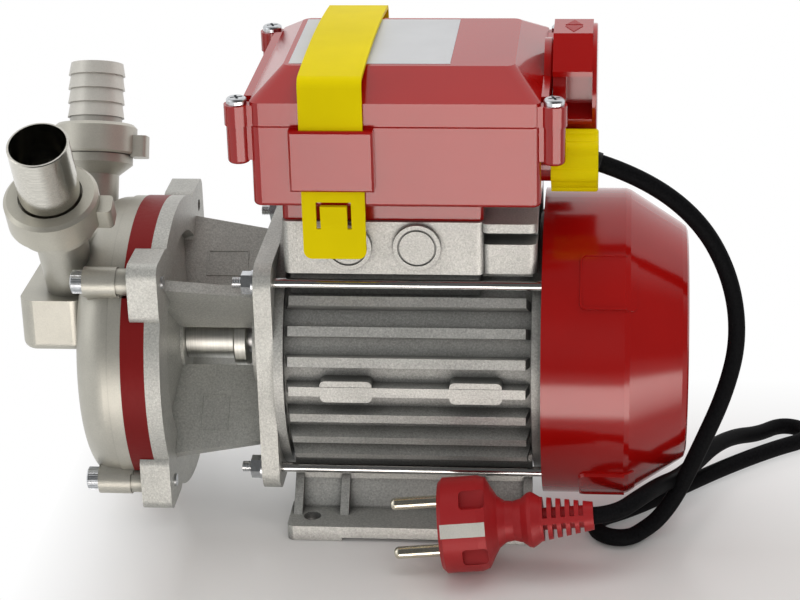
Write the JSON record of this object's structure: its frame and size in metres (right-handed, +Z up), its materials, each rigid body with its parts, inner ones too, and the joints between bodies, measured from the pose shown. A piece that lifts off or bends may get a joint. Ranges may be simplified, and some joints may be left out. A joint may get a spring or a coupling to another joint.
{
  "type": "electric transfer pump",
  "caption": "Self-priming transfer pump on a finned electric motor, with two slanted hose ports, switch box, carry strap and mains lead.",
  "frame": {"origin": "centre of the four foot bolt holes, on the underside of the feet", "axes": "+X along the shaft from pump head to fan cover, +Z up, +Y to the outlet port side"},
  "size_m": [0.3224, 0.1611, 0.1956],
  "materials": {
    "nickel_casting": "satin nickel-plated casting",
    "red_lacquer": "dark red lacquer",
    "cast_aluminium": "as-cast, fine grain",
    "bright_steel": "polished steel",
    "zinc_steel": "zinc plated",
    "bearing_steel": "ground",
    "lamination_steel": "laminated stack",
    "copper_winding": "lacquered copper",
    "impeller_brass": "cast brass",
    "black_rubber": "matt rubber",
    "seal_carbon": "carbon and rubber",
    "red_plastic": "glossy moulded",
    "yellow_plastic": "satin moulded",
    "black_plastic": "matt moulded",
    "grey_plastic": "matt moulded",
    "cord_jacket": "satin jacket",
    "plug_red": "satin moulded",
    "plug_nickel": "nickel-plated brass"
  },
  "bodies": {
    "pump": {"pump_casing": "nickel_casting", "casing_o_ring": "black_rubber", "port_plate": "impeller_brass", "spacer_ring": "red_lacquer", "casing_screws": "zinc_steel", "inlet_pipe": "bright_steel", "inlet_gasket": "black_rubber", "inlet_union_nut": "nickel_casting", "outlet_barb": "nickel_casting", "outlet_gasket": "black_rubber", "outlet_union_nut": "nickel_casting", "lantern_bracket": "cast_aluminium", "seal_seat": "seal_carbon", "front_bearing": "bearing_steel", "motor_frame": "cast_aluminium", "stator_core": "lamination_steel", "stator_windings": "copper_winding", "rear_shield": "cast_aluminium", "rear_bearing": "bearing_steel", "tie_rods": "zinc_steel", "tie_rod_washers": "zinc_steel", "tie_rod_nuts": "zinc_steel", "fan_cover": "red_plastic", "box_base": "red_plastic", "box_lid": "red_plastic", "lid_gasket": "black_rubber", "lid_screws": "zinc_steel", "capacitor": "grey_plastic", "terminal_block": "grey_plastic", "switch_plate": "red_plastic", "switch_body": "black_plastic", "cable_gland_nut": "yellow_plastic", "gland_grommet": "black_rubber", "power_cord": "cord_jacket", "plug_body": "plug_red", "plug_pins": "plug_nickel", "plug_earth_clips": "plug_nickel"},
    "rotor": {"motor_shaft": "bearing_steel", "shaft_sleeve": "bright_steel", "shaft_slinger": "black_rubber", "rotor_core": "lamination_steel", "impeller": "impeller_brass", "impeller_key": "bearing_steel", "impeller_nut": "bearing_steel", "seal_head": "seal_carbon", "cooling_fan": "black_plastic"},
    "switch": {"switch_knob": "red_plastic", "switch_spindle": "bearing_steel"},
    "strap": {"carry_strap": "yellow_plastic"}
  },
  "joints": [
    {"name": "rotor_spin", "type": "hinge", "parent": "pump", "child": "rotor", "pos_m": [0, 0, 0.063], "axis": [1, 0, 0], "continuous": true},
    {"name": "switch_turn", "type": "hinge", "parent": "pump", "child": "switch", "pos_m": [0.0553, 0, 0.173], "axis": [1, 0, 0], "range_deg": [-50, 50]},
    {"name": "strap_slide", "type": "slide", "parent": "pump", "child": "strap", "axis": [0, 0, 1], "range_m": [0, 0.006]}
  ]
}
